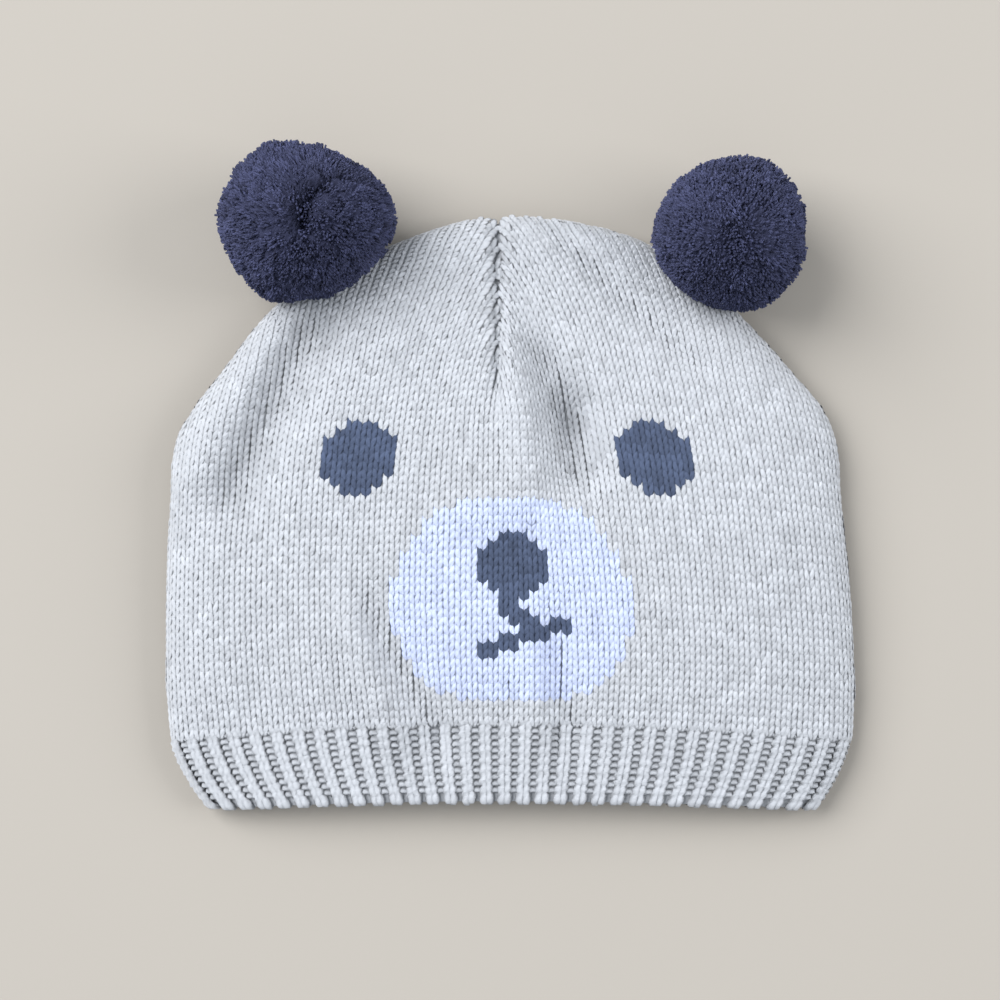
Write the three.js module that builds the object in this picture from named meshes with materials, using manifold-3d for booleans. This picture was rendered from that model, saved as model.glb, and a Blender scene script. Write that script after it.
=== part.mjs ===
// A knitted baby hat with two pompom ears, lying flat with its face up.
// Millimetres, +Z up, +Y from the hem to the top. The origin is in the middle of the hat's length, below
// the seam of the front dart, on the surface that the back lies on.
import * as THREE from "three";
import { mergeVertices } from "three/addons/utils/BufferGeometryUtils.js";
import Module from "manifold-3d";

const wasm = await Module();
wasm.setup();

// Driving sizes
const bodyWidth = 175; // widest part of the hat, lying flat
const crownHeight = 130.5; // from the top of the rib band to the top of the crown
const bandHeight = 21.5; // rib band, from the hem up
const wall = 2.4; // thickness of the knitted cloth
const bodyLoft = 14; // how far the front rises above the side folds
const foldHeight = 4.6; // height of the side folds above the surface
const pieceGap = 0.3; // clearance between neighbouring pieces

// Knitting gauge
const waleWidth = 2.84;
const courseHeight = 2.08;
const rowOverlap = 0.02; // how far a charted row reaches into its neighbours, to join them
const ribsPerSide = 33; // knit ribs on the front, and as many on the back
const ribDepth = 1.1;
const hemBow = 2; // how far the hem's corners hang below its middle
const seamBow = 4.5; // how far the rib band's upper edge hangs at the side folds
const inlayDepth = 1.1; // how deep the coloured yarn of the face goes into the cloth

// Front and back darts
const dartTip = 0.62; // share of the crown's height where the dart begins
const dartDepth = 2.2;
const dartHalfWidth = 3;

// Pompoms
const pompomRadius = 20.6;
const pompomCore = 0.82; // share of the radius that the solid head takes
const pompomLocks = 46;
const lockSides = 5;
const pompomSquash = 0.93; // height of the centre over the surface, as a share of the radius
const coreDetail = 1; // how finely the solid head is faceted

// The crown's sections. height is a share of crownHeight; left and right are shares of bodyWidth,
// measured from the seam of the dart; loft is a share of bodyLoft.
const crownSections = [
  { height: 0, left: 0.474, right: 0.512, loft: 0.62 },
  { height: 0.063, left: 0.481, right: 0.517, loft: 0.74 },
  { height: 0.161, left: 0.484, right: 0.517, loft: 0.88 },
  { height: 0.317, left: 0.484, right: 0.509, loft: 1 },
  { height: 0.44, left: 0.48, right: 0.501, loft: 1 },
  { height: 0.523, left: 0.477, right: 0.498, loft: 0.98 },
  { height: 0.56, left: 0.47, right: 0.493, loft: 0.95 },
  { height: 0.599, left: 0.455, right: 0.482, loft: 0.92 },
  { height: 0.697, left: 0.401, right: 0.425, loft: 0.85 },
  { height: 0.791, left: 0.349, right: 0.363, loft: 0.75 },
  { height: 0.84, left: 0.31, right: 0.326, loft: 0.69 },
  { height: 0.888, left: 0.243, right: 0.278, loft: 0.62 },
  { height: 0.948, left: 0.143, right: 0.213, loft: 0.53 },
  { height: 0.98, left: 0.067, right: 0.126, loft: 0.4 },
  { height: 0.993, left: 0.024, right: 0.06, loft: 0.25 },
];

// The rib band's sections. height is a share of bandHeight.
const bandSections = [
  { height: 0, left: 0.409, right: 0.457, loft: 0.47 },
  { height: 0.45, left: 0.446, right: 0.488, loft: 0.53 },
  { height: 1, left: 0.474, right: 0.512, loft: 0.62 },
];

// Soft folds of the front. x is a share of bodyWidth from the dart's seam, y a share of crownHeight;
// width and depth are shares of the wall, and a negative depth is a ridge.
const softFolds = [
  { x1: -0.023, y1: 0.77, x2: 0, y2: 0.418, width: 6.2, depth: -0.9 },
  { x1: 0.029, y1: 0.69, x2: 0.04, y2: 0.48, width: 2.6, depth: -1 },
  { x1: 0.075, y1: 0.76, x2: 0.097, y2: 0.69, width: 2.1, depth: 0.9 },
  { x1: 0.097, y1: 0.69, x2: 0.117, y2: 0.5, width: 2.4, depth: 2.1 },
  { x1: 0.117, y1: 0.5, x2: 0.09, y2: 0.37, width: 2.2, depth: 0.75 },
  { x1: 0.081, y1: 0.142, x2: 0.098, y2: 0, width: 1.9, depth: 1.1 },
  { x1: 0.09, y1: 0.946, x2: 0.254, y2: 0.73, width: 1.8, depth: 0.7 },
  { x1: -0.269, y1: 0.76, x2: -0.371, y2: 0.45, width: 2.6, depth: 1.9 },
  { x1: -0.343, y1: 0.72, x2: -0.446, y2: 0.48, width: 2.3, depth: -1.1 },
  { x1: -0.366, y1: 0.34, x2: -0.343, y2: 0.065, width: 3.3, depth: 0.7 },
  { x1: -0.206, y1: 0.17, x2: -0.157, y2: 0, width: 1.9, depth: -1 },
  { x1: -0.177, y1: 0.2, x2: -0.094, y2: 0, width: 1.9, depth: 1.2 },
];

// Charts of the face, from the top row down. from and to are wales counted from the nose's middle one.
const eyeChart = [
  { rows: 1, spans: [[-1, 1]] },
  { rows: 1, spans: [[-2, 2]] },
  { rows: 5, spans: [[-3, 3]] },
  { rows: 1, spans: [[-2, 2]] },
  { rows: 1, spans: [[-1, 1]] },
];
const noseChart = [
  { rows: 1, spans: [[-1, 1]] },
  { rows: 1, spans: [[-2, 2]] },
  { rows: 4, spans: [[-3, 3]] },
  { rows: 1, spans: [[-2, 2]] },
  { rows: 1, spans: [[-1, 1]] },
  { rows: 1, spans: [[-1, 0]] },
  { rows: 1, spans: [[-1, 1]] },
  { rows: 1, spans: [[0, 2], [4, 5]] },
  { rows: 1, spans: [[1, 5]] },
  { rows: 1, spans: [[-1, 3]] },
  { rows: 1, spans: [[-3, 0]] },
  { rows: 1, spans: [[-3, -2]] },
];
const muzzleChart = [
  { rows: 1, spans: [[-5, 5]] },
  { rows: 1, spans: [[-7, 7]] },
  { rows: 2, spans: [[-8, 8]] },
  { rows: 2, spans: [[-9, 9]] },
  { rows: 3, spans: [[-10, 10]] },
  { rows: 7, spans: [[-11, 11]] },
  { rows: 3, spans: [[-10, 10]] },
  { rows: 2, spans: [[-9, 9]] },
  { rows: 1, spans: [[-8, 8]] },
  { rows: 1, spans: [[-7, 7]] },
  { rows: 1, spans: [[-5, 5]] },
];

// Places of the face's fields: x is a share of bodyWidth from the dart's seam, top a share of crownHeight,
// gaugeShare a share of waleWidth and tilt a turn in degrees.
const faceFields = {
  muzzle: { chart: muzzleChart, x: 0.024, top: 0.435, gaugeShare: 1.01, tilt: 0 },
  nose_and_mouth: { chart: noseChart, x: 0.024, top: 0.371, gaugeShare: 1.01, tilt: 0 },
  eye_left: { chart: eyeChart, x: -0.198, top: 0.59, gaugeShare: 0.97, tilt: -4 },
  eye_right: { chart: eyeChart, x: 0.228, top: 0.59, gaugeShare: 0.97, tilt: 4 },
};

// Places of the pompoms: x is a share of bodyWidth, y a share of crownHeight above the rib band;
// sizeShare is a share of pompomRadius, and stretch lengthens the pompom along the edge that it is sewn
// to, which turn gives in degrees.
const pompoms = {
  pompom_left: { x: -0.2745, y: 0.964, sizeShare: 0.985, stretch: 1.1, turn: -20, seed: 3 },
  pompom_right: { x: 0.3245, y: 0.934, sizeShare: 0.95, stretch: 1, turn: 0, seed: 8 },
};

const cream = new THREE.MeshStandardMaterial({ color: 0xdfe2e4, roughness: 0.95, metalness: 0 });
const white = new THREE.MeshStandardMaterial({ color: 0xf1f4fb, roughness: 0.95, metalness: 0 });
const slate = new THREE.MeshStandardMaterial({ color: 0x4a5a78, roughness: 0.95, metalness: 0 });
const navy = new THREE.MeshStandardMaterial({ color: 0x232b4f, roughness: 1, metalness: 0 });

const frontExponent = 4.5; // how squarely the front falls to the side folds
const flatShare = 0.86; // share of the back's width that lies flat
const topRound = 13; // length over which the top of the crown rounds off
const frontColumns = 26;
const backColumns = 14;
const seamReach = 0.32; // share of the crown's height over which the bow of the band's edge fades
const dartColumns = [-0.075, -0.035, 0, 0.035, 0.075];
const hat = new THREE.Group();

// A seeded random number from 0 to 1
function randomSource(seed) {
  let state = seed * 7919 + 17;
  return () => {
    state = (state * 16807) % 2147483647;
    return state / 2147483647;
  };
}

const clamp01 = (value) => Math.min(1, Math.max(0, value));

function smooth(value) {
  const t = clamp01(value);
  return t * t * (3 - 2 * t);
}

// Distance from a point to a fold's centre line
function distanceToFold(fold, x, y) {
  const ax = fold.x1 * bodyWidth;
  const ay = bandHeight + fold.y1 * crownHeight;
  const dx = fold.x2 * bodyWidth - ax;
  const dy = bandHeight + fold.y2 * crownHeight - ay;
  const t = clamp01(((x - ax) * dx + (y - ay) * dy) / (dx * dx + dy * dy));
  return Math.hypot(x - ax - t * dx, y - ay - t * dy);
}

// The groove where a dart's two edges are joined
function dartGroove(x, y) {
  const tip = bandHeight + dartTip * crownHeight;
  const open = smooth((y - tip) / (0.12 * crownHeight));
  return -dartDepth * open * Math.exp(-((x / dartHalfWidth) ** 2));
}

function frontRelief(x, y) {
  let relief = dartGroove(x, y);
  for (const fold of softFolds) {
    const away = distanceToFold(fold, x, y) / (fold.width * wall);
    relief -= fold.depth * wall * Math.exp(-away * away);
  }
  return relief;
}

// Shares of the half width where a face's columns of points lie, from the left fold to the right
function columnShares(count) {
  const shares = new Set(dartColumns);
  for (let i = 0; i <= count; i++) {
    const share = Math.sin(Math.PI * (i / count - 0.5));
    if (Math.abs(share) > 0.1) shares.add(share);
  }
  return [...shares].sort((a, b) => a - b);
}

// One point of the cloth's surface. share runs from -1 at the left fold to 1 at the right one,
// face is 1 on the front and -1 on the back, and offset moves the surface outwards.
function clothPoint(section, share, face, offset) {
  const reach = (share < 0 ? section.left : section.right) * bodyWidth + offset;
  const x = reach * share;
  const bow = section.bow * share * share;
  const y = section.y - bow;
  if (face > 0) {
    const arch = Math.sqrt(1 - Math.abs(share) ** frontExponent);
    const relief = frontRelief(x, y) * arch * section.close;
    return new THREE.Vector3(x, y, foldHeight + (section.rise + offset) * arch * section.close + relief);
  }
  const roll = clamp01((Math.abs(share) - flatShare) / (1 - flatShare));
  const drop = (foldHeight + offset) * Math.sqrt(1 - roll * roll) * section.close;
  return new THREE.Vector3(x, y, foldHeight - drop - dartGroove(x, y) * section.close);
}

// A closed ring of points round the hat: the front from left to right, then the back
function clothRing(section, offset) {
  const frontShares = columnShares(frontColumns);
  const backShares = columnShares(backColumns).slice(1, -1).reverse();
  const front = frontShares.map((share) => clothPoint(section, share, 1, offset));
  const back = backShares.map((share) => clothPoint(section, share, -1, offset));
  return [...front, ...back];
}

// The crown's sections in millimetres. offset moves the top as it moves the sides.
function crownLevels(offset) {
  const top = bandHeight + crownHeight;
  return crownSections.map((row) => {
    const y = bandHeight + pieceGap / 2 + row.height * (crownHeight + offset - pieceGap / 2);
    const round = clamp01((top + offset - y) / topRound);
    const close = Math.sqrt(1 - (1 - round) ** 2);
    const bow = seamBow * smooth(1 - row.height / seamReach);
    return { left: row.left, right: row.right, rise: row.loft * bodyLoft, bow, close, y };
  });
}

// Skins rings of equal length into triangles. A ring of one point is a pole.
function skin(rings, closed) {
  const points = rings.flat();
  const starts = [];
  let count = 0;
  for (const ring of rings) {
    starts.push(count);
    count += ring.length;
  }
  const faces = [];
  const last = closed ? rings.length : rings.length - 1;
  for (let r = 0; r < last; r++) {
    const a = rings[r];
    const b = rings[(r + 1) % rings.length];
    const n = Math.max(a.length, b.length);
    for (let i = 0; i < n; i++) {
      const j = (i + 1) % n;
      const a0 = starts[r] + (a.length > 1 ? i : 0);
      const a1 = starts[r] + (a.length > 1 ? j : 0);
      const b0 = starts[(r + 1) % rings.length] + (b.length > 1 ? i : 0);
      const b1 = starts[(r + 1) % rings.length] + (b.length > 1 ? j : 0);
      if (a0 !== a1) faces.push(a0, a1, b0);
      if (b0 !== b1) faces.push(a1, b1, b0);
    }
  }
  const geometry = new THREE.BufferGeometry().setFromPoints(points);
  geometry.setIndex(faces);
  return geometry;
}

function ringCentre(ring) {
  const centre = new THREE.Vector3();
  for (const point of ring) centre.add(point);
  return [centre.divideScalar(ring.length)];
}

// A solid from a closed geometry
function toSolid(geometry) {
  const bare = geometry.clone();
  bare.deleteAttribute("normal");
  bare.deleteAttribute("uv");
  const merged = mergeVertices(bare, 1e-4);
  return new wasm.Manifold(
    new wasm.Mesh({
      numProp: 3,
      vertProperties: new Float32Array(merged.attributes.position.array),
      triVerts: new Uint32Array(merged.index.array),
    }),
  );
}

function toGeometry(solid) {
  const { vertProperties, triVerts } = solid.getMesh();
  const geometry = new THREE.BufferGeometry();
  geometry.setAttribute("position", new THREE.BufferAttribute(new Float32Array(vertProperties), 3));
  geometry.setIndex(new THREE.BufferAttribute(new Uint32Array(triVerts), 1));
  return geometry;
}

function addPiece(name, geometry, material) {
  geometry.translate(0, -(bandHeight + crownHeight) / 2, 0);
  geometry.computeVertexNormals();
  const mesh = new THREE.Mesh(geometry, material);
  mesh.name = name;
  hat.add(mesh);
}

// The crown's outer form as a filled solid, moved outwards by offset
function crownEnvelope(offset) {
  const rings = crownLevels(offset).map((section) => clothRing(section, offset));
  const top = [new THREE.Vector3(0, bandHeight + crownHeight + offset, foldHeight)];
  return toSolid(skin([ringCentre(rings[0]), ...rings, top], false));
}

// The crown as a hollow shell that is open at the rib band
function crownShell() {
  const outer = crownLevels(0).map((section) => clothRing(section, 0));
  const inner = crownLevels(-wall).map((section) => clothRing(section, -wall));
  const top = [new THREE.Vector3(0, bandHeight + crownHeight, foldHeight)];
  const innerTop = [new THREE.Vector3(0, bandHeight + crownHeight - wall, foldHeight)];
  return toSolid(skin([innerTop, ...inner.reverse(), ...outer, top], false));
}

// A field of coloured stitches as an upright prism: one box for each row's span, grown by margin
function fieldPrism(field, margin) {
  const depth = 4 * bodyLoft;
  const wale = field.gaugeShare * waleWidth;
  let prism = null;
  let row = 0;
  for (const { rows, spans } of field.chart) {
    for (const [from, to] of spans) {
      const width = (to - from + 1) * wale + 2 * margin;
      const height = rows * courseHeight + 2 * (margin + rowOverlap);
      const box = new THREE.BoxGeometry(width, height, depth);
      box.translate(((from + to) / 2) * wale, -(row + rows / 2) * courseHeight, 0);
      const solid = toSolid(box);
      prism = prism ? prism.add(solid) : solid;
    }
    row += rows;
  }
  const middle = (row / 2) * courseHeight;
  return prism
    .translate([0, middle, 0])
    .rotate([0, 0, field.tilt])
    .translate([
      field.x * bodyWidth,
      bandHeight + field.top * crownHeight - middle,
      foldHeight + depth / 2,
    ]);
}

// The crown with pockets for the face's fields, and the fields that fill them
function buildCrownAndFace() {
  const core = crownEnvelope(-inlayDepth);
  const skinLayer = crownEnvelope(0).subtract(core);
  const pocketLayer = crownEnvelope(1).subtract(crownEnvelope(-inlayDepth - pieceGap));
  let crown = crownShell();
  const prisms = {};
  for (const [name, field] of Object.entries(faceFields)) {
    crown = crown.subtract(fieldPrism(field, pieceGap).intersect(pocketLayer));
    prisms[name] = fieldPrism(field, 0);
  }
  addPiece("crown", toGeometry(crown), cream);
  const noseRoom = fieldPrism(faceFields.nose_and_mouth, pieceGap);
  prisms.muzzle = prisms.muzzle.subtract(noseRoom);
  for (const name of Object.keys(faceFields)) {
    const material = name === "muzzle" ? white : slate;
    addPiece(name, toGeometry(prisms[name].intersect(skinLayer)), material);
  }
}

// The share at a fraction of the front's length, measured along the curve of a section
function shareAtArc(section, fraction) {
  const steps = 240;
  const lengths = [0];
  let previous = clothPoint(section, -1, 1, 0);
  for (let i = 1; i <= steps; i++) {
    const point = clothPoint(section, -1 + (2 * i) / steps, 1, 0);
    lengths.push(lengths[i - 1] + point.distanceTo(previous));
    previous = point;
  }
  const target = fraction * lengths[steps];
  let i = 1;
  while (i < steps && lengths[i] < target) i++;
  const part = (target - lengths[i - 1]) / (lengths[i] - lengths[i - 1]);
  return -1 + (2 * (i - 1 + part)) / steps;
}

// The rib band: raised knit ribs between sunken purl ones all round, open at both ends
function buildRibBand() {
  const ribProfile = [
    { at: 0.1, sink: 0 },
    { at: 0.55, sink: 0 },
    { at: 0.82, sink: 1 },
  ];
  const guide = crownLevels(0)[0];
  const columns = [];
  for (let rib = 0; rib < ribsPerSide; rib++) {
    for (const { at, sink } of ribProfile) {
      columns.push({ share: shareAtArc(guide, (rib + at) / ribsPerSide), sink });
    }
  }
  const ring = (row, offset) => {
    const section = {
      left: row.left,
      right: row.right,
      rise: row.loft * bodyLoft,
      bow: hemBow + (seamBow - hemBow) * row.height,
      close: 1,
      y: row.height * (bandHeight - pieceGap / 2),
    };
    const depth = offset === 0 ? ribDepth : 0;
    const front = columns.map((c) => clothPoint(section, c.share, 1, offset - c.sink * depth));
    const back = columns.map((c) => clothPoint(section, -c.share, -1, offset - c.sink * depth));
    return [...front, ...back];
  };
  const outer = bandSections.map((row) => ring(row, 0));
  const inner = bandSections.map((row) => ring(row, -wall));
  addPiece("rib_band", toGeometry(toSolid(skin([...inner.reverse(), ...outer], true))), cream);
}

// A cut-pile pompom: tapered locks fused to a round head, pressed flat where it rests
// and hollowed where it is sewn against the crown
function buildPompom(name, place) {
  const random = randomSource(place.seed);
  const radius = pompomRadius * place.sizeShare;
  let pompom = toSolid(new THREE.IcosahedronGeometry(radius * pompomCore, coreDetail));
  const golden = Math.PI * (3 - Math.sqrt(5));
  const up = new THREE.Vector3(0, 1, 0);
  const spread = radius * 2.05 / Math.sqrt(pompomLocks);
  for (let i = 0; i < pompomLocks; i++) {
    const z = 1 - (2 * (i + 0.5)) / pompomLocks;
    const ring = Math.sqrt(1 - z * z);
    const direction = new THREE.Vector3(ring * Math.cos(golden * i), ring * Math.sin(golden * i), z);
    const reach = radius * (0.97 + 0.05 * random());
    const lock = new THREE.CylinderGeometry(spread * 0.66, spread * 0.4, reach * 0.5, lockSides);
    lock.rotateY(random() * Math.PI);
    lock.translate(0, reach * 0.75, 0);
    lock.applyQuaternion(new THREE.Quaternion().setFromUnitVectors(up, direction));
    pompom = pompom.add(toSolid(lock));
  }
  const reach = 2 * (bodyWidth + crownHeight);
  const surface = new THREE.BoxGeometry(2 * reach, 2 * reach, pompomRadius);
  surface.translate(0, 0, -pompomRadius / 2);
  const seat = bandHeight + place.y * crownHeight;
  const placed = pompom
    .scale([place.stretch, 1, 1])
    .rotate([0, 0, place.turn])
    .translate([place.x * bodyWidth, seat, radius * pompomSquash]);
  const fitted = placed.subtract(crownEnvelope(pieceGap)).subtract(toSolid(surface));
  const bodies = fitted.decompose().sort((a, b) => b.volume() - a.volume());
  addPiece(name, toGeometry(bodies[0]), navy);
}

buildCrownAndFace();
buildRibBand();
for (const [name, place] of Object.entries(pompoms)) buildPompom(name, place);

export default hat;
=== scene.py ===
import math

import bpy
import numpy as np
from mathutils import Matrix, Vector


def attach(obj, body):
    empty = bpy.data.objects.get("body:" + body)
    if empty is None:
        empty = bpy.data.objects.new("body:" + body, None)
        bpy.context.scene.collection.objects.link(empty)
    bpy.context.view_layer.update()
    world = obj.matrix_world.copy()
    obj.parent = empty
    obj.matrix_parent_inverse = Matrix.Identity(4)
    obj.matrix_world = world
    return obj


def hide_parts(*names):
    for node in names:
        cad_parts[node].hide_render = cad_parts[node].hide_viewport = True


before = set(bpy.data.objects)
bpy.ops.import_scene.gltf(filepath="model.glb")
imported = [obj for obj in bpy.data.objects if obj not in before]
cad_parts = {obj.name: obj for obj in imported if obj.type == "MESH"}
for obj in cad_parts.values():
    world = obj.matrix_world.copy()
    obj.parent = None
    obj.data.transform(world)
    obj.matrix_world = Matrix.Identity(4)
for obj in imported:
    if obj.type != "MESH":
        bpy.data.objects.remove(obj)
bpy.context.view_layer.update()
print("frame loaded")

metres = 0.001
floorGap = 0.02
# Keeps a lookup inside the last cell of the ring table
insideTable = 1.001
random = np.random.default_rng(41)

# The flat hat. Its table has rows up the hat and samples to a quarter of each ring. The last three values are
# the steps that slopes are taken over, round and up the hat, and how near the apex a normal is taken.
cloth = {
    "width": 175.0,
    "top": 153.3,
    "middle": 76.0,
    "band": 21.5,
    "loft": 14.0,
    "fold": 4.6,
    "exponent": 4.5,
    "flatShare": 0.86,
    "topRound": 13.0,
    "hemBow": 2.0,
    "seamBow": 4.5,
    "seamReach": 41.8,
    "rows": 360,
    "samples": 150,
    "arcSteps": 400,
    "nearestTop": 0.004,
    "stepAround": 0.012,
    "stepUp": 0.7,
    "apexRoom": 1.2,
}
# Height in mm, then left reach, right reach and loft as shares of the width and of the loft
sections = np.array(
    [
        (0, 0.409, 0.457, 0.47),
        (9.7, 0.446, 0.488, 0.53),
        (21.5, 0.474, 0.512, 0.62),
        (29.7, 0.481, 0.517, 0.74),
        (42.5, 0.484, 0.517, 0.88),
        (62.9, 0.484, 0.509, 1),
        (78.9, 0.48, 0.501, 1),
        (89.8, 0.477, 0.498, 0.98),
        (94.6, 0.47, 0.493, 0.95),
        (99.7, 0.455, 0.482, 0.92),
        (112.5, 0.401, 0.425, 0.85),
        (124.7, 0.349, 0.363, 0.75),
        (131.1, 0.31, 0.326, 0.69),
        (137.4, 0.243, 0.278, 0.62),
        (145.2, 0.143, 0.213, 0.53),
        (149.9, 0.067, 0.126, 0.4),
        (152.1, 0.02, 0.048, 0.25),
        (153.3, 0.002, 0.002, 0.2),
    ]
)
# Folds of the front: upper and lower end in mm, half widths to the left and right of the line in mm,
# and depth in mm; a negative depth is a ridge
folds = np.array(
    [
        (-4, 122, 0, 76, 15, 15, -2.2),
        (5, 112, 7, 84, 6, 5, -1.6),
        (6.5, 122, 11.4, 112.5, 4.5, 4.0, 1.6),
        (11.4, 112.5, 18.0, 98, 5.8, 5.0, 3.4),
        (18.0, 98, 20.0, 87, 6.8, 6.2, 5.2),
        (14.2, 40, 17.2, 21.5, 4.5, 4, 2.4),
        (8, 42, 9.5, 21.5, 4.5, 4.5, -1.4),
        (15.7, 145, 44.4, 116.6, 3.8, 3.8, 1.7),
        (-49.5, 119, -67, 80, 5.2, 8, 6.2),
        (-62, 116, -79, 84, 5.0, 5.0, -2.6),
        (-64, 66, -60, 30, 8, 8, 1.6),
        (-36, 44, -27.5, 21, 4.2, 4.2, -2.4),
        (-31, 48, -16.5, 21.5, 3.2, 3.6, 2.4),
    ]
)
foldEnd = 8.0
dart = {
    "tip": 102.4,
    "fadeBelow": 6.0,
    "reach": 15.7,
    "depth": 2.2,
    "leftWidth": 1.8,
    "rightWidth": 1.4,
    "backShare": 0.6,
}


def smooth(value):
    # t * t * (3 - 2 t), with t held between 0 and 1
    t = np.clip(value, 0, 1)
    return t * t * (3 - 2 * t)


def hermite(x, xs, ys):
    # Cubic through a table, h00 y0 + h10 w m0 + h01 y1 + h11 w m1, with slopes m from neighbours
    slopes = np.gradient(ys, xs)
    k = np.clip(np.searchsorted(xs, x) - 1, 0, len(xs) - 2)
    w = xs[k + 1] - xs[k]
    f = (x - xs[k]) / w
    first = (1 + 2 * f) * (1 - f) ** 2 * ys[k] + f * (1 - f) ** 2 * w * slopes[k]
    return first + f * f * (3 - 2 * f) * ys[k + 1] + f * f * (f - 1) * w * slopes[k + 1]


def unit(vectors):
    # v / |v| along the last axis
    return vectors / np.maximum(np.linalg.norm(vectors, axis=-1, keepdims=True), 1e-9)


def dartGroove(x, y):
    # -depth * exp(-(x / width)^2), wider on the left of the seam, fading in from just below the dart's tip
    opening = smooth((y - dart["tip"] + dart["fadeBelow"]) / dart["reach"])
    width = np.where(x < 0, dart["leftWidth"], dart["rightWidth"])
    return -dart["depth"] * opening * np.exp(-((x / width) ** 2))


def foldRelief(x, y):
    # Sum of -depth * exp(-(aside / width)^2 - (beyond / end)^2) over the folds, where beyond is the way past
    # the fold's nearer end
    relief = 0 * x
    for ax, ay, bx, by, leftWidth, rightWidth, depth in folds:
        length = math.hypot(bx - ax, by - ay)
        dx, dy = (bx - ax) / length, (by - ay) / length
        along = (x - ax) * dx + (y - ay) * dy
        aside = (y - ay) * dx - (x - ax) * dy
        beyond = along - np.clip(along, 0, length)
        width = np.where(aside > 0, rightWidth, leftWidth)
        relief = relief - depth * np.exp(-((aside / width) ** 2) - (beyond / foldEnd) ** 2)
    return relief


def foldSlope(x, y):
    # Slopes of the folds along x, y and z, by central differences; the last is always 0
    up = cloth["stepUp"]
    slopeX = (foldRelief(x + 1, y) - foldRelief(x - 1, y)) / 2
    slopeY = (foldRelief(x, y + up) - foldRelief(x, y - up)) / (2 * up)
    return np.stack([slopeX, slopeY, 0 * x], axis=-1)


def foldBend(middles, paths):
    # How far the folds leave their tangent plane at m, R(p) - R(m) - slope(m) . (p - m), and how their slope
    # changes from m to the paths' middles
    x, y = middles[:, None, 0], middles[:, None, 1] + cloth["middle"]
    toX, toY = paths[..., 0], paths[..., 1] + cloth["middle"]
    slope = foldSlope(x, y)
    plane = foldRelief(x, y) + slope[..., 0] * (toX - x) + slope[..., 1] * (toY - y)
    change = foldSlope(toX.mean(axis=1), toY.mean(axis=1)) - slope[:, 0]
    return foldRelief(toX, toY) - plane, change


def quarterOfRing(y, side, isFront):
    # Points from the middle to the side fold at even arc lengths, for each height, and the whole arc
    # length, both counted without the relief. Front: z = fold + rise * sqrt(1 - share^exponent).
    # Back: z = fold * (1 - sqrt(1 - roll^2)). The hem and the seam over the band bow down to the sides.
    t = np.sqrt(1 - sections[::-1, 0] / cloth["top"])
    now = np.sqrt(1 - y / cloth["top"])
    reach = hermite(now, t, sections[::-1, 1 if side < 0 else 2]) * cloth["width"]
    rise = hermite(now, t, sections[::-1, 3]) * cloth["loft"]
    roundOff = np.clip((cloth["top"] - y) / cloth["topRound"], 0, 1)
    close = np.sqrt(1 - (1 - roundOff) ** 2)[:, None]
    share = np.sin(np.linspace(0, math.pi / 2, cloth["arcSteps"]))[None, :]
    x = side * reach[:, None] * share
    height = y[:, None] + 0 * x
    if isFront:
        arch = np.sqrt(np.clip(1 - share ** cloth["exponent"], 0, 1))
        plain = cloth["fold"] + rise[:, None] * arch * close
        z = plain + (dartGroove(x, height) + foldRelief(x, height)) * arch * close
    else:
        roll = np.clip((share - cloth["flatShare"]) / (1 - cloth["flatShare"]), 0, 1)
        plain = cloth["fold"] * (1 - np.sqrt(1 - roll**2) * close)
        z = plain - dartGroove(x, height) * close * dart["backShare"]
    low = smooth(1 - (y - cloth["band"]) / cloth["seamReach"])
    bow = np.where(
        y < cloth["band"],
        cloth["hemBow"] + (cloth["seamBow"] - cloth["hemBow"]) * y / cloth["band"],
        cloth["seamBow"] * low,
    )
    height = height - bow[:, None] * share**2
    steps = np.hypot(np.diff(x), np.diff(plain))
    arc = np.concatenate([np.zeros((len(y), 1)), np.cumsum(steps, axis=1)], axis=1)
    even = np.linspace(0, 1, cloth["samples"] + 1)
    points = np.empty((len(y), len(even), 3))
    for row in range(len(y)):
        at = even * arc[row, -1]
        points[row, :, 0] = np.interp(at, arc[row], x[row])
        points[row, :, 1] = np.interp(at, arc[row], height[row]) - cloth["middle"]
        points[row, :, 2] = np.interp(at, arc[row], z[row])
    return points, arc[:, -1]


ringHeights = cloth["top"] * (1 - np.linspace(cloth["nearestTop"], 1, cloth["rows"]) ** 2)
frontLeft, arcFrontLeft = quarterOfRing(ringHeights, -1, True)
frontRight, arcFrontRight = quarterOfRing(ringHeights, 1, True)
backRight, arcBackRight = quarterOfRing(ringHeights, 1, False)
backLeft, arcBackLeft = quarterOfRing(ringHeights, -1, False)
ringTable = np.concatenate(
    [frontLeft[:, :0:-1], frontRight[:, :-1], backRight[:, :0:-1], backLeft], axis=1
)
arcTables = {
    (True, -1): arcFrontLeft,
    (True, 1): arcFrontRight,
    (False, 1): arcBackRight,
    (False, -1): arcBackLeft,
}


def rowOf(y):
    # Place of a height in the ring table: the table is even in sqrt(1 - y / top)
    t = np.sqrt(np.clip(1 - y / cloth["top"], 0, 1))
    share = (t - cloth["nearestTop"]) / (1 - cloth["nearestTop"])
    return np.clip(share * (cloth["rows"] - 1), 0, cloth["rows"] - insideTable)


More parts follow.
